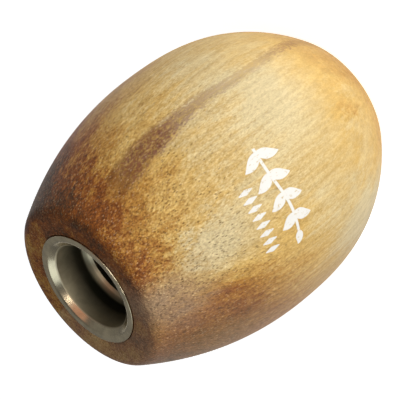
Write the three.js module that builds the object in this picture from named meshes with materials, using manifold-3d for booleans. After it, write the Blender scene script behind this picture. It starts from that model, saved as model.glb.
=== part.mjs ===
// Egg-shaped wooden lead pointer, a hand tool that points the thick graphite leads of clutch pencils.
//
// A one-piece turned wooden egg has a blind bore. A plated metal sleeve pressed into the bore lines the
// mouth and guides the pencil's nose down to a collar. Below the collar two slotted rings hold six
// blades whose inner edges form a cone. The lead is turned in the cone, and its dust falls between the
// blades into a chamber in the wood. A snap ring in the sleeve keeps the rings and blades in place.
//
// Millimetres, +Z up. The egg stands on its small flat base with the mouth up, and the origin is the
// centre of the base.

import * as THREE from 'three';
import Module from 'manifold-3d';
import { mergeVertices } from 'three/addons/utils/BufferGeometryUtils.js';

// ---- Driving dimensions -----------------------------------------------------------------------

const bodyRadius = 13.25; // at the waist, the widest place
const baseHalf = { height: 16.1, endRadius: 6.6, fullness: 2.52, fillet: 4.0 }; // base up to the waist
const mouthHalf = { height: 17.3, endRadius: 8.3, fullness: 2.14, fillet: 1.3 }; // waist up to the mouth

const sleeveRadius = 5.7;
const sleeveProud = 0.1; // the sleeve's face stands this far out of the wood
const faceInnerRadius = 5.1; // the sleeve's flat face ends here, and its countersink starts
const mouthCountersink = 0.57;
const guideRadius = 4.4; // fits a clutch pencil's nose
const collarDepth = 3.56; // from the sleeve's face down to the collar
const collarRadius = 3.65;
const collarLength = 1.6;
const collarCountersink = 0.5;
const seatRadius = 4.6; // bore below the collar, where the blade rings sit
const sleeveTail = 1.2; // length of sleeve below the snap ring
const edgeBreak = 0.15; // small bevel on turned edges

const bladeRingHeight = 1.6;
const upperRingBore = 3.65;
const lowerRingBore = 3.0;
const slotDepth = 1.0; // how far a blade's end sits in each blade ring
const bladeCount = 6;
const bladeThickness = 0.4;
const bladeLength = 12.4;
const coneTopRadius = 3.6; // the cone that the blades' edges form, at its wide end
const coneTipRadius = 0.45; // and at its tip

const snapRingThickness = 0.5;
const snapRingBore = 3.9;
const snapRingGap = 2.4;
const grooveDepth = 0.45; // the snap ring's groove in the sleeve

const chamberRadius = 4.6; // dust chamber below the sleeve
const chamberLength = 5.0;
const drillPointHeight = 2.4;

const woodFit = 0.15; // radial gap between wood and sleeve
const slideFit = 0.15; // radial gap between the sleeve and what slides into it
const slotFit = 0.1; // gap round a blade in its slot
const endFit = 0.3; // gap along the axis between stacked pieces

const segments = 48; // round pieces are turned in this many facets
const sideSteps = 14; // facets along each half of the egg's side
const filletSteps = 5;

// ---- Levels, worked out from the dimensions ---------------------------------------------------

const waistZ = baseHalf.height;
const mouthZ = waistZ + mouthHalf.height;
const sleeveTopZ = mouthZ + sleeveProud;
const collarTopZ = sleeveTopZ - collarDepth;
const collarBottomZ = collarTopZ - collarLength;
const upperRingTopZ = collarBottomZ - endFit;
const upperRingBottomZ = upperRingTopZ - bladeRingHeight;
const bladeTopZ = upperRingBottomZ + slotDepth - slotFit;
const bladeBottomZ = bladeTopZ - bladeLength;
const lowerRingTopZ = bladeBottomZ + slotDepth - slotFit;
const lowerRingBottomZ = lowerRingTopZ - bladeRingHeight;
const snapRingTopZ = lowerRingBottomZ - endFit;
const snapRingBottomZ = snapRingTopZ - snapRingThickness;
const sleeveBottomZ = snapRingBottomZ - sleeveTail;
const grooveRadius = seatRadius + grooveDepth;
const bladeRingRadius = seatRadius - slideFit;
const woodBoreRadius = sleeveRadius + woodFit;
const woodBoreBottomZ = sleeveBottomZ - endFit;
const chamberBottomZ = woodBoreBottomZ - chamberLength;

// ---- Materials --------------------------------------------------------------------------------

const wood = new THREE.MeshStandardMaterial({ color: 0xc08f4c, roughness: 0.55, metalness: 0 });
const platedSteel = new THREE.MeshStandardMaterial({ color: 0xb3ad9b, roughness: 0.28, metalness: 1 });
const ringSteel = new THREE.MeshStandardMaterial({ color: 0x8f8a7c, roughness: 0.4, metalness: 1 });
const bladeSteel = new THREE.MeshStandardMaterial({ color: 0xc4c6c8, roughness: 0.3, metalness: 1 });
const springSteel = new THREE.MeshStandardMaterial({ color: 0x3c3d40, roughness: 0.45, metalness: 1 });

// ---- Geometry helpers -------------------------------------------------------------------------

// A turned piece from [radius, z] points. LatheGeometry turns about Y, so it is stood up along Z.
function turned(profile) {
  const points = profile.map(([radius, z]) => new THREE.Vector2(radius, z));
  return new THREE.LatheGeometry(points, segments).rotateX(Math.PI / 2);
}

// A closed geometry as a manifold-3d solid.
function solidOf(wasm, geometry) {
  const bare = geometry.clone().deleteAttribute('normal').deleteAttribute('uv');
  const merged = mergeVertices(bare);
  return new wasm.Manifold(new wasm.Mesh({
    numProp: 3,
    vertProperties: merged.attributes.position.array,
    triVerts: new Uint32Array(merged.index.array),
  }));
}

// A manifold-3d solid as a geometry.
function geometryOf(solid) {
  const mesh = solid.getMesh();
  const geometry = new THREE.BufferGeometry();
  geometry.setAttribute('position', new THREE.BufferAttribute(mesh.vertProperties, 3));
  geometry.setIndex(new THREE.BufferAttribute(mesh.triVerts, 1));
  geometry.computeVertexNormals();
  return geometry;
}

// Half of the egg's outline as [radius, height] points, from the waist at height 0 to the edge of the
// flat end. The side falls from bodyRadius to endRadius as a power of the height, and a fillet that
// touches both the side and the flat end rounds the corner.
function halfOutline({ height, endRadius, fullness, fillet }) {
  const fall = bodyRadius - endRadius;
  const sideAt = (t) => new THREE.Vector2(bodyRadius - fall * t ** fullness, height * t);
  const normalAt = (t) => {
    const slope = (-fall * fullness * t ** (fullness - 1)) / height;
    return new THREE.Vector2(1, -slope).normalize();
  };
  const filletCentreAt = (t) => sideAt(t).addScaledVector(normalAt(t), -fillet);

  // The fillet starts where its centre is one fillet radius short of the flat end: halve to find it.
  let sideEnd = 0;
  for (let step = 0.5; step > 1e-9; step /= 2) {
    if (filletCentreAt(sideEnd + step).y < height - fillet) sideEnd += step;
  }

  const points = [];
  for (let i = 0; i < sideSteps; i++) {
    points.push(sideAt((sideEnd * i) / sideSteps).toArray());
  }
  const centre = filletCentreAt(sideEnd);
  const startAngle = normalAt(sideEnd).angle();
  for (let i = 0; i <= filletSteps; i++) {
    const angle = THREE.MathUtils.lerp(startAngle, Math.PI / 2, i / filletSteps);
    points.push([centre.x + fillet * Math.cos(angle), centre.y + fillet * Math.sin(angle)]);
  }
  return points;
}

// ---- Pieces -----------------------------------------------------------------------------------

// The wooden egg: its outline from the base up to the mouth, then the bore and chamber down to the
// axis.
function bodyGeometry() {
  const lower = halfOutline(baseHalf).map(([radius, height]) => [radius, waistZ - height]);
  const upper = halfOutline(mouthHalf).map(([radius, height]) => [radius, waistZ + height]);
  return turned([
    [0, 0],
    ...lower.reverse(),
    ...upper.slice(1),
    [woodBoreRadius + edgeBreak, mouthZ],
    [woodBoreRadius, mouthZ - edgeBreak],
    [woodBoreRadius, woodBoreBottomZ],
    [chamberRadius, woodBoreBottomZ],
    [chamberRadius, chamberBottomZ],
    [0, chamberBottomZ - drillPointHeight],
  ]);
}

// The sleeve: a countersunk face and a guide bore, a countersunk collar, and below the collar the
// blade rings' seat with the snap ring's groove.
function sleeveGeometry() {
  const grooveFit = endFit / 2;
  return turned([
    [sleeveRadius, sleeveTopZ - edgeBreak],
    [sleeveRadius - edgeBreak, sleeveTopZ],
    [faceInnerRadius, sleeveTopZ],
    [guideRadius, sleeveTopZ - mouthCountersink],
    [guideRadius, collarTopZ],
    [collarRadius, collarTopZ - collarCountersink],
    [collarRadius, collarBottomZ],
    [seatRadius, collarBottomZ],
    [seatRadius, snapRingTopZ + grooveFit],
    [grooveRadius, snapRingTopZ + grooveFit],
    [grooveRadius, snapRingBottomZ - grooveFit],
    [seatRadius, snapRingBottomZ - grooveFit],
    [seatRadius, sleeveBottomZ],
    [sleeveRadius - edgeBreak, sleeveBottomZ],
    [sleeveRadius, sleeveBottomZ + edgeBreak],
    [sleeveRadius, sleeveTopZ - edgeBreak],
  ]);
}

// The angle round the axis of one of the evenly spaced blades.
function bladeAngle(index) {
  return (index * 2 * Math.PI) / bladeCount;
}

// One blade slot across a ring's wall, centred on the given level and pointing away from the axis.
function slotGeometry(level, angle) {
  const reach = bladeRingRadius + edgeBreak;
  const box = new THREE.BoxGeometry(reach, bladeThickness + 2 * slotFit, 2 * slotDepth);
  return box.translate(reach / 2, 0, level).rotateZ(angle);
}

// A blade ring: a plain ring with one slot for each blade, cut into the end at slottedZ.
function bladeRingGeometry(wasm, bore, bottomZ, topZ, slottedZ) {
  let ring = solidOf(wasm, turned([
    [bladeRingRadius, topZ],
    [bore, topZ],
    [bore, bottomZ],
    [bladeRingRadius, bottomZ],
    [bladeRingRadius, topZ],
  ]));
  for (let i = 0; i < bladeCount; i++) {
    ring = ring.subtract(solidOf(wasm, slotGeometry(slottedZ, bladeAngle(i))));
  }
  return geometryOf(ring);
}

// A blade: a thin plate whose slanting inner edge cuts, drawn in radius and z, then stood upright.
function bladeGeometry() {
  const outer = bladeRingRadius - slotFit;
  const outline = new THREE.Shape([
    new THREE.Vector2(outer, bladeBottomZ),
    new THREE.Vector2(outer, bladeTopZ),
    new THREE.Vector2(coneTopRadius, bladeTopZ),
    new THREE.Vector2(coneTipRadius, bladeBottomZ),
  ]);
  const plate = new THREE.ExtrudeGeometry(outline, { depth: bladeThickness, bevelEnabled: false });
  return plate.translate(0, 0, -bladeThickness / 2).rotateX(Math.PI / 2);
}

// The snap ring: a flat open ring that springs into the sleeve's groove.
function snapRingGeometry() {
  const outer = grooveRadius - slideFit;
  const outerAngle = Math.asin(snapRingGap / 2 / outer);
  const innerAngle = Math.asin(snapRingGap / 2 / snapRingBore);
  const outline = new THREE.Shape();
  outline.absarc(0, 0, outer, outerAngle, 2 * Math.PI - outerAngle, false);
  outline.absarc(0, 0, snapRingBore, 2 * Math.PI - innerAngle, innerAngle, true);
  const options = { depth: snapRingThickness, bevelEnabled: false, curveSegments: segments };
  return new THREE.ExtrudeGeometry(outline, options).translate(0, 0, snapRingBottomZ);
}

function named(name, geometry, material) {
  const mesh = new THREE.Mesh(geometry, material);
  mesh.name = name;
  return mesh;
}

// ---- Assembly ---------------------------------------------------------------------------------

const wasm = await Module();
wasm.setup();

const upperRing = bladeRingGeometry(
  wasm, upperRingBore, upperRingBottomZ, upperRingTopZ, upperRingBottomZ,
);
const lowerRing = bladeRingGeometry(
  wasm, lowerRingBore, lowerRingBottomZ, lowerRingTopZ, lowerRingTopZ,
);

const cartridge = new THREE.Group();
cartridge.add(named('guide_sleeve', sleeveGeometry(), platedSteel));
cartridge.add(named('upper_blade_ring', upperRing, ringSteel));
cartridge.add(named('lower_blade_ring', lowerRing, ringSteel));
cartridge.add(named('snap_ring', snapRingGeometry(), springSteel));
for (let i = 0; i < bladeCount; i++) {
  const blade = named(`blade_${i + 1}`, bladeGeometry(), bladeSteel);
  blade.rotation.z = bladeAngle(i);
  cartridge.add(blade);
}

const leadPointer = new THREE.Group();
leadPointer.add(named('egg_body', bodyGeometry(), wood));
leadPointer.add(cartridge);

export default leadPointer;
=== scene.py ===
"""Looks of an egg-shaped wooden lead pointer: turned wood, a plated guide sleeve and a cone of blades."""

import math

import bmesh
import bpy
from mathutils import Matrix, Vector


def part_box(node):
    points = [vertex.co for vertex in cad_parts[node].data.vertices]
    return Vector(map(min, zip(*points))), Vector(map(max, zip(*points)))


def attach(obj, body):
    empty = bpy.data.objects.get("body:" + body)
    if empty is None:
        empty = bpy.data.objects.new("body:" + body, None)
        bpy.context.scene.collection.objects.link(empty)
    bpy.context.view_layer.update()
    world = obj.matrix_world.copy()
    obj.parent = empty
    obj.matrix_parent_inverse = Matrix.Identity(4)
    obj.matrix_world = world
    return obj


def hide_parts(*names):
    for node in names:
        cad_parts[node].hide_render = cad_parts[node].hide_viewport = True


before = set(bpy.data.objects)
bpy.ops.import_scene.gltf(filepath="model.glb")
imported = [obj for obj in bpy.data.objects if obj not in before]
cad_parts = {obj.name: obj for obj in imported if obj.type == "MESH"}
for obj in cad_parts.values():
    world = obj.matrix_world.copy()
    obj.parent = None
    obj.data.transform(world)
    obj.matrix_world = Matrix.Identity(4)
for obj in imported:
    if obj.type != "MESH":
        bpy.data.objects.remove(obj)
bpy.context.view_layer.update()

MM = 0.001
BODY = "root"

# ---- Sizes, in millimetres in the frame --------------------------------------------------------

# Bores are given by their radii.
EGG_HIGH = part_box("egg_body")[1] / MM
SLEEVE_LOW, SLEEVE_HIGH = (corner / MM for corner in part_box("guide_sleeve"))
UPPER_LOW, UPPER_HIGH = (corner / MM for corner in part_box("upper_blade_ring"))
LOWER_LOW, LOWER_HIGH = (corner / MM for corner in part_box("lower_blade_ring"))
SNAP_LOW, SNAP_HIGH = (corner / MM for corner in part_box("snap_ring"))
BLADE_LOW, BLADE_HIGH = (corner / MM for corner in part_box("blade_1"))

EGG_RADIUS = EGG_HIGH.x
MOUTH_Z = EGG_HIGH.z
WAIST_Z = 16.1
BASE_HALF = {"height": WAIST_Z, "end": 6.6, "fullness": 2.52, "fillet": 4.0}
MOUTH_HALF = {"height": MOUTH_Z - WAIST_Z, "end": 8.3, "fullness": 2.14, "fillet": 1.3}
WOOD_BORE = 5.74
BORE_EDGE = 0.12  # rounding of the bore's edge at the mouth
BORE_EDGE_MIDDLE = 0.035  # how far the middle of the rounding lies from both faces
BORE_BEYOND_SLEEVE = 0.3
CHAMBER_RADIUS = 4.6
CHAMBER_LENGTH = 5.0
DRILL_POINT = 2.4

SLEEVE_RADIUS = SLEEVE_HIGH.x
SLEEVE_TOP = SLEEVE_HIGH.z
SLEEVE_BOTTOM = SLEEVE_LOW.z
FACE_INNER_RADIUS = 5.1
COUNTERSINK_BOTTOM = SLEEVE_TOP - 0.57
GUIDE_RADIUS = 4.4
COLLAR_TOP = SLEEVE_TOP - 3.56
COLLAR_RADIUS = 3.65
COLLAR_COUNTERSINK = 0.5
COLLAR_BOTTOM = COLLAR_TOP - 1.6
SEAT_RADIUS = 4.6
GROOVE_RADIUS = 5.05
GROOVE_MARGIN = 0.15

BLADE_COUNT = 6
BLADE_THICKNESS = 0.4
BLADE_OUTER = BLADE_HIGH.x
CONE_TOP = 3.6
CONE_TIP = 0.45
SLOT_WIDTH = 0.6
SLOT_DEPTH = 1.0
SLOT_OVERSHOOT = 1.0  # how far the slots' cutter reaches past the ring
GROUND_WIDTH = 0.55
RING_RADIUS = UPPER_HIGH.x
UPPER_BORE = 3.65
LOWER_BORE = 3.0
SNAP_RADIUS = 4.9
SNAP_BORE = 3.9
SNAP_GAP = 2.4

TURNS = 224  # facets round a turned piece
SIDE_STEPS = 44  # along each half of the egg's side
END_STEPS = 10  # round the edge of each of the egg's flat ends
EDGE_STEPS = 8  # round a metal edge
SNAP_STEPS = 120  # along the snap ring
SHARP_DEGREES = 35
BLADE_SHARP_DEGREES = 5

# ---- Mesh helpers -------------------------------------------------------------------------------


def new_piece(name, mesh, material, slot, *nodes):
    """A mesh object that rides on the pointer's body and stands for the given CAD nodes."""
    piece = bpy.data.objects.new(name, mesh)
    bpy.context.scene.collection.objects.link(piece)
    mesh.materials.append(material)
    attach(piece, BODY)
    if nodes:
        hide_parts(*nodes)
    return piece


def mesh_of(name, points, faces, sharp_degrees=SHARP_DEGREES):
    """A mesh from points in millimetres, smooth except at its sharp edges, with its faces outward."""
    mesh = bpy.data.meshes.new(name)
    mesh.from_pydata([Vector(point) * MM for point in points], [], faces)
    work = bmesh.new()
    work.from_mesh(mesh)
    bmesh.ops.recalc_face_normals(work, faces=work.faces)
    work.to_mesh(mesh)
    work.free()
    mesh.shade_smooth()
    mesh.set_sharp_from_angle(angle=math.radians(sharp_degrees))
    return mesh


def turned(name, profile):
    """A piece turned about Z from (radius, z) points that start and end on the axis, or close."""
    closed = profile[0][0] > 0
    points = []
    rings = []
    for radius, z in profile:
        if radius == 0:
            rings.append([len(points)] * TURNS)
            points.append((0, 0, z))
            continue
        rings.append(list(range(len(points), len(points) + TURNS)))
        for turn in range(TURNS):
            angle = 2 * math.pi * turn / TURNS
            points.append((radius * math.cos(angle), radius * math.sin(angle), z))
    pairs = list(zip(rings, rings[1:]))
    if closed:
        pairs.append((rings[-1], rings[0]))
    faces = []
    for first, second in pairs:
        for turn in range(TURNS):
            after = (turn + 1) % TURNS
            corners = [first[turn], first[after], second[after], second[turn]]
            faces.append(list(dict.fromkeys(corners)))
    return mesh_of(name, points, faces)


def rounded(corners):
    """Profile points of a closed outline from its (radius, z, fillet) corners, each an arc or sharp."""
    points = []
    count = len(corners)
    for index, (radius, z, fillet) in enumerate(corners):
        here = Vector((radius, z))
        before = Vector(corners[index - 1][:2])
        after = Vector(corners[(index + 1) % count][:2])
        if fillet == 0:
            points.append(tuple(here))
            continue
        back = (before - here).normalized()
        ahead = (after - here).normalized()
        half_angle = back.angle(ahead) / 2
        reach = fillet / math.tan(half_angle)
        centre = here + (back + ahead).normalized() * (fillet / math.sin(half_angle))
        start = here + back * reach - centre
        turn = start.angle_signed(here + ahead * reach - centre)
        # angle_signed counts clockwise, and the swing counts the other way
        for step in range(EDGE_STEPS + 1):
            swing = -turn * step / EDGE_STEPS
            cos, sin = math.cos(swing), math.sin(swing)
            points.append((
                centre.x + start.x * cos - start.y * sin,
                centre.y + start.x * sin + start.y * cos,
            ))
    return points


# ---- The egg's outline --------------------------------------------------------------------------


def half_outline(height, end, fullness, fillet):
    """(radius, height) points of half the egg, from the waist to the edge of its flat end."""
    fall = EGG_RADIUS - end

    def side(part):
        return Vector((EGG_RADIUS - fall * part ** fullness, height * part))

    def normal(part):
        slope = -fall * fullness * part ** (fullness - 1) / height
        return Vector((1, -slope)).normalized()

    side_end = 0.0
    step = 0.5
    while step > 1e-9:
        if (side(side_end + step) - fillet * normal(side_end + step)).y < height - fillet:
            side_end += step
        step /= 2

    points = [side(side_end * index / SIDE_STEPS) for index in range(SIDE_STEPS)]
    centre = side(side_end) - fillet * normal(side_end)
    start = math.atan2(normal(side_end).y, normal(side_end).x)
    for index in range(END_STEPS + 1):
        angle = start + (math.pi / 2 - start) * index / END_STEPS
        points.append(centre + fillet * Vector((math.cos(angle), math.sin(angle))))
    return points


def outer_outline():
    """(radius, z) points of the whole outside, from the base's edge up to the mouth's edge."""
    lower = [(point.x, WAIST_Z - point.y) for point in half_outline(**BASE_HALF)]
    upper = [(point.x, WAIST_Z + point.y) for point in half_outline(**MOUTH_HALF)]
    return lower[::-1] + upper[1:]


OUTLINE = outer_outline()


def surface_at(z):
    """The outside's radius at height z, and its slope dr/dz."""
    for (r0, z0), (r1, z1) in zip(OUTLINE, OUTLINE[1:]):
        if z0 <= z <= z1:
            slope = (r1 - r0) / (z1 - z0)
            return r0 + slope * (z - z0), slope
    raise ValueError(f"no outside at height {z}")


# ---- Node helpers -------------------------------------------------------------------------------


class Nodes:
    """A node tree, built by calls that return sockets."""

    def __init__(self, tree):
        self.tree = tree
        self.tree.nodes.clear()

    def node(self, kind, **settings):
        node = self.tree.nodes.new(kind)
        for key, value in settings.items():
            setattr(node, key, value)
        return node

    def link(self, output, target):
        self.tree.links.new(output, target)

    def feed(self, target, value):
        """Links a socket, or sets a plain number or colour."""
        if isinstance(value, bpy.types.NodeSocket):
            self.link(value, target)
        else:
            target.default_value = value

    def math(self, operation, first, second=0.0, clamp=False):
        node = self.node("ShaderNodeMath", operation=operation, use_clamp=clamp)
        self.feed(node.inputs[0], first)
        self.feed(node.inputs[1], second)
        return node.outputs[0]

    def add(self, *values):
        total = values[0]
        for value in values[1:]:
            total = self.math("ADD", total, value)
        return total

    def times(self, *values):
        total = values[0]
        for value in values[1:]:
            total = self.math("MULTIPLY", total, value)
        return total

    def smooth(self, value, low, high):
        """0 at low and 1 at high, smooth between; low may be above high."""
        node = self.node("ShaderNodeMapRange", interpolation_type="SMOOTHSTEP", clamp=True)
        self.feed(node.inputs["Value"], value)
        flip = low > high
        node.inputs["From Min"].default_value = min(low, high)
        node.inputs["From Max"].default_value = max(low, high)
        node.inputs["To Min"].default_value = 1.0 if flip else 0.0
        node.inputs["To Max"].default_value = 0.0 if flip else 1.0
        return node.outputs["Result"]

    def band(self, value, centre, half_width):
        """1 where value is at centre, falling smoothly to 0 at half_width to either side."""
        away = self.math("ABSOLUTE", self.math("SUBTRACT", value, centre))
        return self.smooth(self.math("DIVIDE", away, half_width), 1.0, 0.0)

    def curve(self, value, points):
        """A smooth curve through (value, height) points, level beyond its ends."""
        low, high = points[0][0], points[-1][0]
        node = self.node("ShaderNodeFloatCurve")
        scaled = self.math("DIVIDE", self.math("SUBTRACT", value, low), high - low, clamp=True)
        self.feed(node.inputs["Value"], scaled)
        curve = node.mapping.curves[0]
        node.mapping.use_clip = False
        while len(curve.points) < len(points):
            curve.points.new(0.5, 0.5)
        for point, (place, height) in zip(curve.points, points):
            point.location = ((place - low) / (high - low), height)
        node.mapping.update()
        return node.outputs["Value"]

    def scaled_curve(self, value, points):
        """As curve, for heights far above 1."""
        top = max(height for place, height in points)
        return self.times(self.curve(value, [(place, height / top) for place, height in points]), top)

    def length(self, x, y):
        return self.math("SQRT", self.add(self.times(x, x), self.times(y, y)))

    def vector(self, x, y, z):
        node = self.node("ShaderNodeCombineXYZ")
        for target, value in zip(node.inputs, (x, y, z)):
            self.feed(target, value)
        return node.outputs[0]

    def noise(self, vector, scale, detail, roughness):
        node = self.node("ShaderNodeTexNoise", noise_dimensions="3D")
        self.feed(node.inputs["Vector"], vector)
        node.inputs["Scale"].default_value = scale
        node.inputs["Detail"].default_value = detail
        node.inputs["Roughness"].default_value = roughness
        return node.outputs["Fac"]

    def centred_noise(self, *settings):
        """Noise that swings about 0, by up to about 0.3."""
        return self.math("SUBTRACT", self.noise(*settings), 0.5)

    def cells(self, vector, scale):
        """Scattered points: the distance to the nearest one, and that point's own random number."""
        node = self.node("ShaderNodeTexVoronoi", feature="F1")
        self.feed(node.inputs["Vector"], vector)
        node.inputs["Scale"].default_value = scale
        split = self.node("ShaderNodeSeparateColor")
        self.link(node.outputs["Color"], split.inputs[0])
        return node.outputs["Distance"], split.outputs[0]

    def ramp(self, value, stops):
        """A colour ramp through (place, colour) stops."""
        node = self.node("ShaderNodeValToRGB")
        self.feed(node.inputs["Fac"], value)
        ramp = node.color_ramp
        while len(ramp.elements) < len(stops):
            ramp.elements.new(0.5)
        for element, (place, colour) in zip(ramp.elements, stops):
            element.position = place
            element.color = (*colour, 1)
        return node.outputs["Color"]

    def mix(self, factor, first, second, blend="MIX"):
        node = self.node("ShaderNodeMix", data_type="RGBA", blend_type=blend)
        self.feed(node.inputs["Factor"], factor)
        for target, value in ((node.inputs["A"], first), (node.inputs["B"], second)):
            self.feed(target, (*value, 1) if isinstance(value, tuple) else value)
        return node.outputs["Result"]


class Shader(Nodes):
    """A node material round one surface shader."""

    def __init__(self, name):
        self.material = bpy.data.materials.new(name)
        self.material.use_nodes = True
        super().__init__(self.material.node_tree)
        out = self.node("ShaderNodeOutputMaterial")
        self.surface = self.node("ShaderNodeBsdfPrincipled")
        self.link(self.surface.outputs["BSDF"], out.inputs["Surface"])

    def set(self, **values):
        """Feeds the surface shader's inputs, such as Base_Color."""
        for key, value in values.items():
            self.feed(self.surface.inputs[key.replace("_", " ")], value)

    def bump(self, height, distance):
        """A normal from heights, where 1 stands for the given distance in millimetres."""
        node = self.node("ShaderNodeBump")
        self.feed(node.inputs["Height"], height)
        node.inputs["Distance"].default_value = distance * MM
        return node.outputs["Normal"]

    def place(self):
        """Position in millimetres as x, y, z sockets."""
        coordinates = self.node("ShaderNodeTexCoord")
        scaled = self.node("ShaderNodeVectorMath", operation="SCALE")
        self.link(coordinates.outputs["Object"], scaled.inputs[0])
        scaled.inputs["Scale"].default_value = 1 / MM
        split = self.node("ShaderNodeSeparateXYZ")
        self.link(scaled.outputs[0], split.inputs[0])
        return split.outputs[0], split.outputs[1], split.outputs[2]


# ---- Materials ----------------------------------------------------------------------------------

# Turns are in degrees from -Y towards +X, and heights in millimetres from the base. An edge is the
# value where something starts and the value where it is whole. A noise is its scale per millimetre,
# detail and roughness.
STAIN_COLOURS = [
    (0.00, (0.475, 0.385, 0.21)),  # pale
    (0.25, (0.46, 0.30, 0.09)),  # golden
    (0.50, (0.34, 0.17, 0.032)),  # orange brown
    (0.75, (0.195, 0.057, 0.009)),  # red brown
    (1.00, (0.055, 0.025, 0.009)),  # burnt
]
STAIN_UP = [(0, 0.38), (5, 0.33), (9, 0.19), (20, 0.12), (24, 0.20), (28, 0.36), (31, 0.54), (33.4, 0.65)]
STAIN_AND_HIGHLIGHT_PATCHES = [
    # (turn, half width, height, half height, change of stain)
    # The first two patches are painted highlights: paler where the lights shine on the wood.
    (-19, 22, 27.3, 6.5, -0.32),
    (15, 28, 14.0, 7.0, -0.16),
    (-45, 20, 26.5, 7.0, 0.26),
    (-62, 24, 25.0, 10.0, 0.22),
    (-38, 24, 19.5, 6.0, 0.17),
    (-90, 50, 22.0, 18.0, 0.14),
    (-56, 26, 8.0, 8.0, -0.38),
    (-22, 26, 5.5, 4.5, -0.14),
    (-3, 16, 4.5, 3.5, -0.12),
    (52, 22, 17.0, 9.0, -0.07),
    (-7, 5, 7.2, 3.6, 0.17),
    (32, 30, 32.0, 5.0, 0.20),
    (58, 24, 32.5, 5.0, 0.16),
    (84, 44, 31.0, 10.0, 0.21),
    (-60, 50, 33.4, 2.0, -0.12),
    (-25, 14, 32.6, 2.2, -0.06),
    (20, 9, 27.0, 3.5, 0.09),
    (60, 10, 28.0, 3.0, -0.09),
    (-42, 12, 26.5, 4.5, 0.07),
    (-52, 12, 23.0, 4.0, 0.06),
    (-5, 16, 31.8, 2.5, 0.08),
    (50, 14, 31.0, 2.5, 0.08),
]
# Darker down both sides: partly the wood's stain, partly painted shade where the girth turns away from the
# front light.
SIDE_STAIN_AND_SHADE = [(0, 0.05), (10, 0.08), (16, 0.24), (23, 0.42), (29, 0.34), (33.4, 0.20)]
SIDE_STAIN_AND_SHADE_EDGE = (30.0, 95.0)  # turn to either side

END_FACE_RADIUS_EDGE = (8.6, 7.4)
END_FACE_HEIGHT_EDGE = (32.0, 33.2)
END_FACE_STAIN = 0.80
END_FACE_BACK = -0.26  # change of stain towards the back of the end face
END_FACE_BACK_EDGE = (-3.0, 5.0)

FADED_BROWN = (0.205, 0.137, 0.038)
FADED_EDGE = (-42.0, -68.0)
FADED_BAND = (27.0, 9.0)  # height and half height
FADED_SHARE = 0.42

# Painted sheen: a grey tint that stands for the wood's soft sheen and the reflection near its edges.
SHEEN_GREY = (0.275, 0.196, 0.128)
SHEEN_PATCH = (-35, 28, 32.0, 6.5, 0.75)  # as a stain patch, but a share of the grey that paints the sheen
SHEEN_NEAR = [(0, 0.30), (14, 0.34), (20, 0.30), (26, 0.18), (30, 0.14), (33.4, 0.40)]
SHEEN_NEAR_EDGE = (-36.0, -70.0)
SHEEN_FAR_EDGE = (54.0, 84.0)
SHEEN_FAR_BAND = (20.0, 9.0)
SHEEN_FAR_SHARE = 0.35

STREAK_FILTER = (0.32, 0.19, 0.25)
STREAK_PATH = [(0, 40), (4, 37), (8, 33.5), (13, 31), (18, 32.5), (24, 33), (27, 33.2), (30, 31.5)]
STREAK_BREADTH = [(0, 6), (5, 4.5), (10, 2.8), (16, 3.3), (21, 5.0), (24, 7.2), (28, 9.0)]
STREAK_STRENGTH = [
    (0, 0.2), (4, 0.3), (6, 0.6), (8, 0.55), (10, 0.4), (13, 0.3), (16, 0.42),
    (20, 0.62), (22, 0.8), (24, 1.0), (27, 1.0), (30, 0.3), (31, 0.0),
]
STREAK_EDGE = (1.0, 0.5)  # parts of the breadth
STREAK_GAPS_EDGE = (0.31, -0.10)  # sums of mottle and grit

# Patterns of the figure: a factor on the height, which draws them out along the grain where it is
# below 1, and then the noise.
PATTERNS = {
    "cloud": (0.5, 0.4, 3.0, 0.6),
    "mottle": (0.42, 4.6, 3.0, 0.65),
    "grit": (0.45, 7.5, 2.0, 0.7),
    "lines": (0.025, 2.8, 2.0, 0.5),
}
FIBRE = (0.05, 1.7, 4.0, 0.6)
FIBRE_DRIFT = (0.35, 0.16, 2.0, 0.5)
FIBRE_DRIFT_REACH = 6.0
END_GRAIN = [(0, 0.3), (8, 0.4), (14, 0.65), (22, 1.0), (28, 1.2), (33.4, 1.6)]

# How strongly each pattern shows in a value.
FRAY_TURN = {"cloud": 26.0, "mottle": 9.0}
FRAY_HEIGHT = {"cloud": 3.0, "fibre": 4.0, "mottle": 2.0}
FRAY_STREAK = {"fibre": 4.0, "mottle": 9.0}
STAIN_FIGURE = {"cloud": 0.30, "fibre": 0.30, "end_mottle": 0.32, "end_grit": 0.30}
END_FACE_FIGURE = {"cloud": 1.2, "mottle": 0.9}
LIGHT_FIGURE = {"end_mottle": -0.45, "end_grit": -1.0, "fibre": -0.25, "lines": -0.45}
RELIEF_FIGURE = {"end_mottle": 0.6, "end_grit": 0.5, "lines": 0.4}
GLOSS_FIGURE = {"mottle": 0.4}

# Dashes: shift across the grain, factor on the height, scale, share by height, edge, spread of strengths.
PORES = (0.0, 0.30, 6.4, [(0, 0.05), (12, 0.15), (20, 0.40), (28, 0.75), (33.4, 0.95)], (0.44, 0.20), 0.6)
PORE_BROWN = (0.080, 0.034, 0.012)
PORE_COVER = 0.54
PORE_RELIEF = -0.7
# Painted glints: light flecks that stand for the sparkle of the fibres in the wood's gloss.
GLINT_FLECKS = (3.7, 0.4, 6.0, [(0, 0.0), (16, 0.08), (24, 0.30), (33.4, 0.50)], (0.46, 0.18), 0.2)
GLINT_TAN = (0.66, 0.50, 0.28)
GLINT_COVER = 0.26
GLINT_RELIEF = 0.2

WOOD_ROUGHNESS = 0.54
WOOD_SPECULAR = 0.16
WOOD_RELIEF = 0.08


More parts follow.
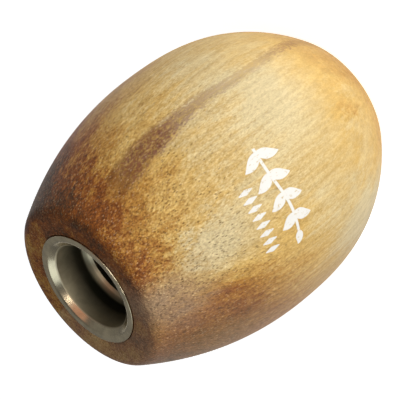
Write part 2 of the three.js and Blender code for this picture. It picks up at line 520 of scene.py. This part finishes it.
class WoodShader(Shader):
    """Wood with its grain along Z, its place and patterns ready for use."""

    def __init__(self, name):
        super().__init__(name)
        self.x, self.y, self.z = self.place()
        self.turn = self.times(self.math("ARCTAN2", self.x, self.times(self.y, -1.0)), math.degrees(1))
        self.patterns = {key: self.figure(self.x, *settings) for key, settings in PATTERNS.items()}
        drift = self.times(self.figure(self.x, *FIBRE_DRIFT), FIBRE_DRIFT_REACH)
        self.patterns["fibre"] = self.figure(self.add(self.x, drift), *FIBRE)
        end_grain = self.curve(self.z, END_GRAIN)
        for key in ("mottle", "grit"):
            self.patterns["end_" + key] = self.times(self.patterns[key], end_grain)
        self.ragged_turn = self.varied(self.turn, FRAY_TURN)
        self.ragged_z = self.varied(self.z, FRAY_HEIGHT)

    def figure(self, x, height_factor, *settings):
        """Noise about 0, drawn out along the grain where height_factor is below 1."""
        return self.centred_noise(self.vector(x, self.y, self.times(self.z, height_factor)), *settings)

    def varied(self, value, weights):
        """A value plus the named patterns, each times its weight."""
        for key, weight in weights.items():
            value = self.add(value, self.times(self.patterns[key], weight))
        return value

    def patch(self, turn, half_turn, height, half_height, strength):
        """A patch with a ragged edge, as strong as stated at its middle."""
        round_girth = self.band(self.ragged_turn, turn, half_turn)
        return self.times(round_girth, self.band(self.ragged_z, height, half_height), strength)

    def dashes(self, shift, height_factor, scale, share_up, edge, spread):
        """Scattered short dashes along the grain, up to 1 at their middles."""
        place = self.vector(self.add(self.x, shift), self.y, self.times(self.z, height_factor))
        away, chance = self.cells(place, scale)
        strength = self.smooth(self.math("SUBTRACT", self.curve(self.z, share_up), chance), 0.0, spread)
        return self.times(self.smooth(away, *edge), strength)


def stain_shade_and_highlights(s):
    """The depth of the stain, with painted shade down both sides and painted highlights, from 0 for pale to
    1 for burnt.
    """
    # stain with painted shade: darker down both sides
    to_side = s.smooth(s.math("ABSOLUTE", s.ragged_turn), *SIDE_STAIN_AND_SHADE_EDGE)
    stain = s.add(s.curve(s.ragged_z, STAIN_UP), s.times(to_side, s.curve(s.ragged_z, SIDE_STAIN_AND_SHADE)))
    # stain patches, the first two of them painted highlights
    for patch in STAIN_AND_HIGHLIGHT_PATCHES:
        stain = s.add(stain, s.patch(*patch))
    stain = s.varied(stain, STAIN_FIGURE)
    # the end face is a warm brown whatever the stain beside it
    inside = s.smooth(s.length(s.x, s.y), *END_FACE_RADIUS_EDGE)
    end_face = s.times(inside, s.smooth(s.z, *END_FACE_HEIGHT_EDGE))
    to_back = s.times(s.smooth(s.y, *END_FACE_BACK_EDGE), END_FACE_BACK)
    end_stain = s.add(s.varied(END_FACE_STAIN, END_FACE_FIGURE), to_back)
    return s.add(stain, s.times(end_face, s.math("SUBTRACT", end_stain, stain)))


def faded_share(s):
    """Where the stain is a faded brown: towards the mouth, on the side that turns away to -X."""
    return s.times(s.smooth(s.ragged_turn, *FADED_EDGE), s.band(s.z, *FADED_BAND), FADED_SHARE)


def painted_sheen_share(s):
    """Where a grey tint paints the wood's soft sheen: by the mouth, down the side to -X, and above the
    waist to +X.
    """
    near_side = s.times(s.smooth(s.ragged_turn, *SHEEN_NEAR_EDGE), s.curve(s.z, SHEEN_NEAR))
    far_side = s.smooth(s.ragged_turn, *SHEEN_FAR_EDGE)
    far_side = s.times(far_side, s.band(s.z, *SHEEN_FAR_BAND), SHEEN_FAR_SHARE)
    return s.add(s.patch(*SHEEN_PATCH), near_side, far_side)


def streak_share(s):
    """The streak: broad and dark near the mouth, a thin line past the waist, brown again low down."""
    path = s.varied(s.scaled_curve(s.z, STREAK_PATH), FRAY_STREAK)
    off_path = s.math("ABSOLUTE", s.math("SUBTRACT", s.turn, path))
    streak = s.smooth(s.math("DIVIDE", off_path, s.scaled_curve(s.z, STREAK_BREADTH)), *STREAK_EDGE)
    between_gaps = s.smooth(s.add(s.patterns["mottle"], s.patterns["grit"]), *STREAK_GAPS_EDGE)
    return s.times(streak, s.curve(s.z, STREAK_STRENGTH), between_gaps)


def wood_material():
    """Oiled hardwood: a pale front with painted highlights and painted shade down the sides, golden at the
    base, and stained dark round the mouth, with a painted grey sheen and painted glints.
    """
    s = WoodShader("oiled_wood")
    pores = s.dashes(*PORES)
    glint_flecks = s.dashes(*GLINT_FLECKS)
    colour = s.ramp(stain_shade_and_highlights(s), STAIN_COLOURS)
    colour = s.mix(faded_share(s), colour, FADED_BROWN)
    # painted sheen: a grey tint where the wood shows its soft sheen
    colour = s.mix(painted_sheen_share(s), colour, SHEEN_GREY)
    colour = s.mix(streak_share(s), colour, STREAK_FILTER, "MULTIPLY")
    colour = s.mix(s.times(pores, PORE_COVER), colour, PORE_BROWN)
    # painted glints: light flecks for the sparkle of the gloss
    colour = s.mix(s.times(glint_flecks, GLINT_COVER), colour, GLINT_TAN)
    light = s.varied(1.0, LIGHT_FIGURE)
    relief = s.add(s.varied(0.0, RELIEF_FIGURE), s.times(pores, PORE_RELIEF), s.times(glint_flecks, GLINT_RELIEF))
    s.set(
        Base_Color=s.mix(1.0, colour, s.vector(light, light, light), "MULTIPLY"),
        Roughness=s.varied(WOOD_ROUGHNESS, GLOSS_FIGURE),
        Specular_IOR_Level=WOOD_SPECULAR,
        Normal=s.bump(relief, WOOD_RELIEF),
    )
    return s.material


METALS = {
    # name: (colour, roughness, scale per millimetre and depth of the rings left by the tool)
    "nickel_plate": ((0.64, 0.55, 0.37), 0.22, 7.0, 0.0012),
    "ring_steel": ((0.42, 0.40, 0.36), 0.38, 6.0, 0.006),
    "blade_steel": ((0.62, 0.62, 0.63), 0.26, 9.0, 0.004),
    "spring_steel": ((0.12, 0.12, 0.13), 0.4, 6.0, 0.005),
}
RING_NOISE = (3.0, 0.6)  # detail and roughness
RING_ROUGHNESS = 0.08
BLOTCHES = (0.9, 3.0, 0.6)
BLOTCH_EDGE = (0.35, 0.7)
BLOTCH_SHADE = 0.8

# Graphite dust and painted shade in the sleeve's bore: darker deeper down and on the -X side, where less
# light reaches.
GRAPHITE_AND_SHADE = (0.05, 0.048, 0.03)
DUST_AND_SHADE_UP = [  # (height, share of the surface)
    (COLLAR_TOP - 0.3, 0.30),
    (COLLAR_TOP + 0.2, 0.80),
    (COUNTERSINK_BOTTOM - 1.6, 0.42),
    (COUNTERSINK_BOTTOM - 0.1, 0.05),
    (COUNTERSINK_BOTTOM + 0.3, 0.0),
]
DULL_UP = [  # (height, added roughness)
    (COLLAR_TOP - 0.3, 0.10),
    (COLLAR_TOP + 0.2, 0.26),
    (COUNTERSINK_BOTTOM - 0.1, 0.34),
    (COUNTERSINK_BOTTOM + 0.1, 0.0),
]
SHADED_SIDE_EDGE = (3.0, -1.0)
SHADED_SIDE_SHARE = 0.9  # more dust and painted shade for each part of dullness


def bore_dust_and_shade(s, x, z):
    """Shares of graphite dust with painted shade, and of dullness, up the sleeve's bore, with more painted
    shade to -X.
    """
    dull = s.curve(z, DULL_UP)
    # graphite dust and painted shade together
    dust = s.add(s.curve(z, DUST_AND_SHADE_UP), s.times(dull, s.smooth(x, *SHADED_SIDE_EDGE), SHADED_SIDE_SHARE))
    return dust, dull


def no_soiling(s, x, z):
    """A clean face: no dust and no dullness."""
    return 0.0, 0.0


def metal_material(name, soiling_and_shade=no_soiling):
    """Turned metal with faint blotches and the rings left by the tool."""
    colour, roughness, ring_scale, ring_depth = METALS[name]
    s = Shader(name)
    x, y, z = s.place()
    rings = s.noise(s.vector(s.length(x, y), 0.0, z), ring_scale, *RING_NOISE)
    blotches = s.smooth(s.noise(s.vector(x, y, z), *BLOTCHES), *BLOTCH_EDGE)
    darker = tuple(channel * BLOTCH_SHADE for channel in colour)
    # dust here is graphite dust and painted shade in the bore
    dust, dull = soiling_and_shade(s, x, z)
    s.set(
        Base_Color=s.mix(dust, s.mix(blotches, colour, darker), GRAPHITE_AND_SHADE),
        Metallic=1.0,
        Roughness=s.add(roughness, dull, s.times(s.math("SUBTRACT", rings, 0.5), RING_ROUGHNESS)),
        Normal=s.bump(rings, ring_depth),
    )
    return s.material


INK_WHITE = (0.60, 0.59, 0.555)
INK_WORN = (0.46, 0.36, 0.20)
INK_ROUGHNESS = 0.5
INK_WEAR = (5.0, 3.0, 0.7)
INK_WEAR_HEIGHT_FACTOR = 0.5
INK_WEAR_EDGE = (0.58, 0.68)
INK_RELIEF = 0.02


def ink_material():
    """White printing ink, a little worn where it meets the grain."""
    s = Shader("print_ink")
    x, y, z = s.place()
    wear = s.noise(s.vector(x, y, s.times(z, INK_WEAR_HEIGHT_FACTOR)), *INK_WEAR)
    s.set(
        Base_Color=s.mix(s.smooth(wear, *INK_WEAR_EDGE), INK_WHITE, INK_WORN),
        Roughness=INK_ROUGHNESS,
        Normal=s.bump(wear, INK_RELIEF),
    )
    return s.material


FLOOR_GLOW = 0.75
FRONT_GLOW = 2.8
FRONT_GLOW_X = 13.0
FRONT_GLOW_Y = -26.0
FRONT_GLOW_REACH = 20.0
FLOOR_ROUGHNESS = 0.9
FLOOR_TOOTH = (0.5, 3.0, 0.5)
FLOOR_PALE = (0.93, 0.93, 0.93)
FLOOR_LESS_PALE = (0.90, 0.90, 0.90)


def floor_material():
    """A pale matt table that glows, brightest in front of the egg."""
    s = Shader("pale_floor")
    x, y, z = s.place()
    tooth = s.noise(s.vector(x, y, z), *FLOOR_TOOTH)
    away = s.length(s.math("SUBTRACT", x, FRONT_GLOW_X), s.math("SUBTRACT", y, FRONT_GLOW_Y))
    s.set(
        Base_Color=s.mix(tooth, FLOOR_PALE, FLOOR_LESS_PALE),
        Roughness=FLOOR_ROUGHNESS,
        Emission_Color=(1, 1, 1, 1),
        Emission_Strength=s.add(FLOOR_GLOW, s.times(s.smooth(away, FRONT_GLOW_REACH, 0.0), FRONT_GLOW)),
    )
    return s.material


# ---- Pieces -------------------------------------------------------------------------------------


def make_egg():
    """The wood, with a bore for the sleeve and a drilled chamber for the dust below it."""
    bore_bottom = SLEEVE_BOTTOM - BORE_BEYOND_SLEEVE
    chamber_bottom = bore_bottom - CHAMBER_LENGTH
    profile = [
        (0, 0),
        *OUTLINE,
        (WOOD_BORE + BORE_EDGE, MOUTH_Z),
        (WOOD_BORE + BORE_EDGE_MIDDLE, MOUTH_Z - BORE_EDGE_MIDDLE),
        (WOOD_BORE, MOUTH_Z - BORE_EDGE),
        (WOOD_BORE, bore_bottom),
        (CHAMBER_RADIUS, bore_bottom),
        (CHAMBER_RADIUS, chamber_bottom),
        (0, chamber_bottom - DRILL_POINT),
    ]
    return new_piece("turned_egg", turned("turned_egg", profile), wood_material(), "wood", "egg_body")


def make_sleeve():
    """The plated guide sleeve: countersunk mouth, bore, collar, and a groove for the snap ring."""
    groove_top = SNAP_HIGH.z + GROOVE_MARGIN
    groove_bottom = SNAP_LOW.z - GROOVE_MARGIN
    rim_edge = 0.06
    countersink_blend = 0.5
    collar_blend = 0.4
    collar_edge = 0.05
    groove_edge = 0.03
    end_edge = 0.1
    heel_edge = 0.16
    corners = [
        (SLEEVE_RADIUS, SLEEVE_TOP, rim_edge),
        (FACE_INNER_RADIUS, SLEEVE_TOP, countersink_blend),
        (GUIDE_RADIUS, COUNTERSINK_BOTTOM, 0),
        (GUIDE_RADIUS, COLLAR_TOP, collar_blend),
        (COLLAR_RADIUS, COLLAR_TOP - COLLAR_COUNTERSINK, collar_edge),
        (COLLAR_RADIUS, COLLAR_BOTTOM, collar_edge),
        (SEAT_RADIUS, COLLAR_BOTTOM, collar_edge),
        (SEAT_RADIUS, groove_top, groove_edge),
        (GROOVE_RADIUS, groove_top, groove_edge),
        (GROOVE_RADIUS, groove_bottom, groove_edge),
        (SEAT_RADIUS, groove_bottom, groove_edge),
        (SEAT_RADIUS, SLEEVE_BOTTOM, end_edge),
        (SLEEVE_RADIUS, SLEEVE_BOTTOM, heel_edge),
    ]
    mesh = turned("turned_sleeve", rounded(corners))
    nickel = metal_material("nickel_plate", bore_dust_and_shade)
    return new_piece("turned_sleeve", mesh, nickel, "plated_steel", "guide_sleeve")


def blade_spin(index):
    """The turn about Z that takes a blade along +X to its own place."""
    return Matrix.Rotation(2 * math.pi * index / BLADE_COUNT, 4, "Z")


def make_blade_ring(name, node, bore, low, high, slotted_z, material):
    """A plain ring, cut by one slot for each blade in the end at slotted_z."""
    edge = 0.08
    corners = [
        (RING_RADIUS, high, edge),
        (bore, high, edge),
        (bore, low, edge),
        (RING_RADIUS, low, edge),
    ]
    ring = new_piece(name, turned(name, rounded(corners)), material, "ring_steel", node)
    slot_length = RING_RADIUS + SLOT_OVERSHOOT
    size = Vector((slot_length, SLOT_WIDTH, 2 * SLOT_DEPTH)) * MM
    middle = Vector((slot_length / 2, 0, slotted_z)) * MM
    slot = Matrix.Translation(middle) @ Matrix.Diagonal((*size, 1))
    work = bmesh.new()
    for index in range(BLADE_COUNT):
        bmesh.ops.create_cube(work, size=1, matrix=blade_spin(index) @ slot)
    cutter_mesh = bpy.data.meshes.new("slot_cutter")
    work.to_mesh(cutter_mesh)
    work.free()
    cutter = bpy.data.objects.new("slot_cutter", cutter_mesh)
    bpy.context.scene.collection.objects.link(cutter)
    cut = ring.modifiers.new("slots", "BOOLEAN")
    cut.operation = "DIFFERENCE"
    cut.object = cutter
    cut.solver = "EXACT"
    bpy.context.view_layer.update()
    done = bpy.data.meshes.new_from_object(ring.evaluated_get(bpy.context.evaluated_depsgraph_get()))
    ring.modifiers.clear()
    ring.data = done
    done.set_sharp_from_angle(angle=math.radians(SHARP_DEGREES))
    bpy.data.objects.remove(cutter)
    return ring


def make_blade(index, material):
    """A blade with a knife edge: two ground faces meet along its slanting inner side."""
    half = BLADE_THICKNESS / 2
    low, high = BLADE_LOW.z, BLADE_HIGH.z
    points = [
        (CONE_TIP, 0, low), (CONE_TOP, 0, high),
        (CONE_TIP + GROUND_WIDTH, half, low), (CONE_TOP + GROUND_WIDTH, half, high),
        (CONE_TIP + GROUND_WIDTH, -half, low), (CONE_TOP + GROUND_WIDTH, -half, high),
        (BLADE_OUTER, half, low), (BLADE_OUTER, half, high),
        (BLADE_OUTER, -half, low), (BLADE_OUTER, -half, high),
    ]
    faces = [
        (0, 1, 3, 2), (0, 4, 5, 1), (2, 3, 7, 6), (4, 8, 9, 5),
        (6, 7, 9, 8), (1, 5, 9, 7, 3), (0, 2, 6, 8, 4),
    ]
    placed = [blade_spin(index) @ Vector(point) for point in points]
    name = f"ground_blade_{index + 1}"
    mesh = mesh_of(name, placed, faces, BLADE_SHARP_DEGREES)
    return new_piece(name, mesh, material, "blade_steel", f"blade_{index + 1}")


def make_snap_ring():
    """An open flat ring with softened edges and square ends."""
    edge = 0.06
    section = rounded([
        (SNAP_RADIUS, SNAP_HIGH.z, edge),
        (SNAP_BORE, SNAP_HIGH.z, edge),
        (SNAP_BORE, SNAP_LOW.z, edge),
        (SNAP_RADIUS, SNAP_LOW.z, edge),
    ])
    opening = math.asin(SNAP_GAP / 2 / SNAP_BORE)
    points = []
    for step in range(SNAP_STEPS + 1):
        angle = opening + (2 * math.pi - 2 * opening) * step / SNAP_STEPS
        points += [(radius * math.cos(angle), radius * math.sin(angle), z) for radius, z in section]
    count = len(section)
    faces = [tuple(range(count)), tuple(range(SNAP_STEPS * count, (SNAP_STEPS + 1) * count))]
    for step in range(SNAP_STEPS):
        for corner in range(count):
            after = (corner + 1) % count
            base = step * count
            faces.append((base + corner, base + after, base + count + after, base + count + corner))
    mesh = mesh_of("open_snap_ring", points, faces)
    return new_piece("open_snap_ring", mesh, metal_material("spring_steel"), "spring_steel", "snap_ring")


# ---- The printed ornament ------------------------------------------------------------------------

PRINT_PROUD = 0.014
PRINT_SUNK = 0.03
PRINT_MIDDLE_Z = 18.8
PRINT_START = 3.5  # degrees from -Y towards +X where the sprig starts
STEM_LENGTH = 8.648
STEM_WAVE = 0.18
STEM_HALF_WIDTH = 0.15
STEM_STEPS = 24
LEAF_PAIRS = 4
LEAF_PAIR_STEPS = 6  # steps of the stem from one pair to the next
LEAF_STEPS = 12
LEAF_LEAN = 0.75
LEAF_CURL = 0.35
LEAF_LENGTH = 2.3
LEAF_SHORTENING = 0.12  # from one pair to the next
LEAF_HALF_WIDTH = 0.52
LEAF_FULLNESS = 0.8
LEAF_LEAST_HALF_WIDTH = 0.03
END_LEAF_LEAN = 0.001  # all but straight on
END_LEAF_LENGTH = 1.3
END_LEAF_HALF_WIDTH = 0.42
LOZENGE_COUNT = 8
LOZENGE_START = 2.7
LOZENGE_PITCH = 0.86
LOZENGE_HEIGHT = 1.5
LOZENGE_Z = 21.9
LOZENGE_HALF_WIDTHS = [0.04, 0.16, 0.27, 0.16, 0.04]


def on_surface(along, z, proud):
    """A point on the egg: along runs round the girth from the print's start, in millimetres."""
    radius, slope = surface_at(z)
    angle = math.radians(PRINT_START) - along / EGG_RADIUS
    tilt = 1 / math.hypot(1, slope)
    outward = radius + proud * tilt
    return (outward * math.sin(angle), -outward * math.cos(angle), z - proud * slope * tilt)


def print_strip(points, faces, middle_line, half_widths, across=4):
    """Adds a thin raised strip that follows a line of (along, z) points with the given half widths."""
    first = len(points)
    count = len(middle_line)
    for layer in (PRINT_PROUD, -PRINT_SUNK):
        for index, (along, z) in enumerate(middle_line):
            before = Vector(middle_line[max(index - 1, 0)])
            after = Vector(middle_line[min(index + 1, count - 1)])
            run = (after - before).normalized()
            side = Vector((-run.y, run.x))
            for column in range(across + 1):
                offset = side * half_widths[index] * (2 * column / across - 1)
                points.append(on_surface(along + offset.x, z + offset.y, layer))
    row = across + 1
    layer_size = count * row

    def corner(layer, index, column):
        return first + layer * layer_size + index * row + column

    for index in range(count - 1):
        for column in range(across):
            for layer in (0, 1):
                faces.append((
                    corner(layer, index, column), corner(layer, index + 1, column),
                    corner(layer, index + 1, column + 1), corner(layer, index, column + 1),
                ))
        for column in (0, across):
            faces.append((
                corner(0, index, column), corner(0, index + 1, column),
                corner(1, index + 1, column), corner(1, index, column),
            ))
    for index in (0, count - 1):
        for column in range(across):
            faces.append((
                corner(0, index, column), corner(0, index, column + 1),
                corner(1, index, column + 1), corner(1, index, column),
            ))


def leaf(points, faces, root, lean, length, half_width):
    """A leaf that grows from root at the angle lean, widest a little before its middle."""
    line = []
    half_widths = []
    for step in range(LEAF_STEPS + 1):
        part = step / LEAF_STEPS
        curl = lean + LEAF_CURL * math.copysign(part, lean)
        line.append((
            root[0] + length * part * math.cos(curl),
            root[1] + length * part * math.sin(curl),
        ))
        swell = math.sin(math.pi * part ** LEAF_FULLNESS) ** LEAF_FULLNESS
        half_widths.append(max(half_width * swell, LEAF_LEAST_HALF_WIDTH))
    print_strip(points, faces, line, half_widths)


def sprig(points, faces):
    """A wavy stem with pairs of leaves and one leaf at its end."""
    stem = []
    for step in range(STEM_STEPS + 1):
        wave = STEM_WAVE * math.sin(2 * math.pi * step / STEM_STEPS)
        stem.append((STEM_LENGTH * step / STEM_STEPS, PRINT_MIDDLE_Z + wave))
    print_strip(points, faces, stem, [STEM_HALF_WIDTH] * len(stem), across=1)
    for pair in range(LEAF_PAIRS):
        root = stem[1 + pair * LEAF_PAIR_STEPS]
        length = LEAF_LENGTH - LEAF_SHORTENING * pair
        for lean in (LEAF_LEAN, -LEAF_LEAN):
            leaf(points, faces, root, lean, length, LEAF_HALF_WIDTH)
    leaf(points, faces, stem[-1], END_LEAF_LEAN, END_LEAF_LENGTH, END_LEAF_HALF_WIDTH)


def lozenge(points, faces, along):
    """A lozenge that stands across the row, with its middle at the given place along the girth."""
    last = len(LOZENGE_HALF_WIDTHS) - 1
    line = [(along, LOZENGE_Z + LOZENGE_HEIGHT * (step / last - 0.5)) for step in range(last + 1)]
    print_strip(points, faces, line, LOZENGE_HALF_WIDTHS, across=2)


def make_print():
    """A leaf sprig with a row of lozenges beside it, printed round the girth."""
    points = []
    faces = []
    sprig(points, faces)
    for index in range(LOZENGE_COUNT):
        lozenge(points, faces, LOZENGE_START + LOZENGE_PITCH * index)
    mesh = mesh_of("leaf_print", points, faces)
    return new_piece("leaf_print", mesh, ink_material(), "print_ink")


# ---- Studio -------------------------------------------------------------------------------------

VIEW_ELEVATION = math.radians(30.95)
VIEW_ROLL = math.radians(-127.94)
VIEW_DISTANCE = 13.514 * EGG_RADIUS
VIEW_SIDEWAYS = 0.1215 * EGG_RADIUS
VIEW_UPWARD = 0.0838 * EGG_RADIUS
SENSOR_WIDTH = 36.0
FOCAL_LENGTH = 171.24
CLIP_START = 10.0
CLIP_END = 20000.0

SOFTBOXES = {
    # name: (direction from the waist, distance, width, radiance, colour)
    "key": ((-0.05, -0.99, 0.12), 420, 280, 6.95, (1.0, 0.985, 0.955)),
    "side": ((-0.60, -0.79, 0.14), 420, 110, 13.0, (1.0, 1.0, 1.0)),
    "strip": ((-0.64, 0.16, 0.74), 260, 180, 1.15, (0.80, 0.92, 1.0)),
    "spot": ((-0.08, -0.30, 0.95), 300, 44, 12.0, (1.0, 0.90, 0.84)),
    "warm": ((0.28, -0.25, 0.93), 300, 150, 0.6, (1.0, 0.46, 0.30)),
}

# The surroundings' level by the sine of the elevation, and what the back adds near the horizon.
SKY_LEVEL = [(0.0, 1.0), (0.03, 0.8), (0.09, 0.17), (0.3, 0.18), (0.5, 0.25), (0.75, 0.22), (1.0, 0.10)]
BACK_GLOW = 0.45
BACK_GLOW_EDGE = (0.2, 0.8)
BACK_GLOW_HEIGHT_EDGE = (0.12, 0.02)

FLOOR_REACH = 3000
FLOOR_SIDES = 96


def make_camera():
    """The camera looks down at the waist from -Y, rolled so that the mouth points to the lower left."""
    toward_camera = Vector((0, -math.cos(VIEW_ELEVATION), math.sin(VIEW_ELEVATION)))
    level_right = Vector((1, 0, 0))
    level_up = Vector((0, math.sin(VIEW_ELEVATION), math.cos(VIEW_ELEVATION)))
    right = level_right * math.cos(VIEW_ROLL) + level_up * math.sin(VIEW_ROLL)
    up = level_up * math.cos(VIEW_ROLL) - level_right * math.sin(VIEW_ROLL)
    waist = Vector((0, 0, WAIST_Z))
    place = waist + toward_camera * VIEW_DISTANCE - right * VIEW_SIDEWAYS - up * VIEW_UPWARD
    data = bpy.data.cameras.new("camera")
    data.sensor_width = SENSOR_WIDTH
    data.lens = FOCAL_LENGTH
    data.clip_start = CLIP_START * MM
    data.clip_end = CLIP_END * MM
    camera = bpy.data.objects.new("camera", data)
    bpy.context.scene.collection.objects.link(camera)
    rotation = Matrix((right, up, toward_camera)).transposed()
    camera.matrix_world = Matrix.Translation(place * MM) @ rotation.to_4x4()
    bpy.context.scene.camera = camera


def make_softbox(name, direction, distance, width, radiance, colour):
    """A round softbox that faces the egg's waist, with the given radiance."""
    middle = Vector((0, 0, WAIST_Z))
    place = middle + Vector(direction).normalized() * distance
    data = bpy.data.lights.new(name, "AREA")
    data.shape = "DISK"
    data.size = width * MM
    area = math.pi * (width * MM / 2) ** 2
    data.energy = radiance * math.pi * area
    data.color = colour
    light = bpy.data.objects.new(name, data)
    bpy.context.scene.collection.objects.link(light)
    light.location = place * MM
    light.rotation_euler = (place - middle).to_track_quat("Z", "Y").to_euler()
    light.visible_camera = False


def make_world():
    """Soft surroundings: bright at the horizon, most of all behind the egg, and dimmer above."""
    world = bpy.data.worlds.new("studio")
    bpy.context.scene.world = world
    world.use_nodes = True
    w = Nodes(world.node_tree)
    coordinates = w.node("ShaderNodeTexCoord")
    split = w.node("ShaderNodeSeparateXYZ")
    w.link(coordinates.outputs["Generated"], split.inputs[0])
    back, height = split.outputs[1], split.outputs[2]
    glow = w.times(w.smooth(back, *BACK_GLOW_EDGE), w.smooth(height, *BACK_GLOW_HEIGHT_EDGE), BACK_GLOW)
    background = w.node("ShaderNodeBackground")
    background.inputs["Color"].default_value = (1, 1, 1, 1)
    w.feed(background.inputs["Strength"], w.add(w.curve(height, SKY_LEVEL), glow))
    out = w.node("ShaderNodeOutputWorld")
    w.link(background.outputs["Background"], out.inputs["Surface"])


def make_floor():
    """A wide round floor at the height of the base."""
    points = []
    for side in range(FLOOR_SIDES):
        angle = 2 * math.pi * side / FLOOR_SIDES
        points.append(Vector((FLOOR_REACH * math.cos(angle), FLOOR_REACH * math.sin(angle), 0)) * MM)
    mesh = bpy.data.meshes.new("floor")
    mesh.from_pydata(points, [], [tuple(range(FLOOR_SIDES))])
    mesh.materials.append(floor_material())
    floor = bpy.data.objects.new("floor", mesh)
    bpy.context.scene.collection.objects.link(floor)


def make_studio():
    make_camera()
    make_world()
    make_floor()
    for name, settings in SOFTBOXES.items():
        make_softbox(name, *settings)
    bpy.context.scene.view_settings.view_transform = "Standard"


# ---- Assembly -----------------------------------------------------------------------------------


def make_blade_rings():
    """The two rings, slotted in the ends that face each other."""
    steel = metal_material("ring_steel")
    low, high = UPPER_LOW.z, UPPER_HIGH.z
    make_blade_ring("slotted_upper_ring", "upper_blade_ring", UPPER_BORE, low, high, low, steel)
    low, high = LOWER_LOW.z, LOWER_HIGH.z
    make_blade_ring("slotted_lower_ring", "lower_blade_ring", LOWER_BORE, low, high, high, steel)


def make_blades():
    steel = metal_material("blade_steel")
    for index in range(BLADE_COUNT):
        make_blade(index, steel)


def make_pieces():
    make_egg()
    make_sleeve()
    make_blade_rings()
    make_blades()
    make_snap_ring()
    make_print()


make_studio()
make_pieces()
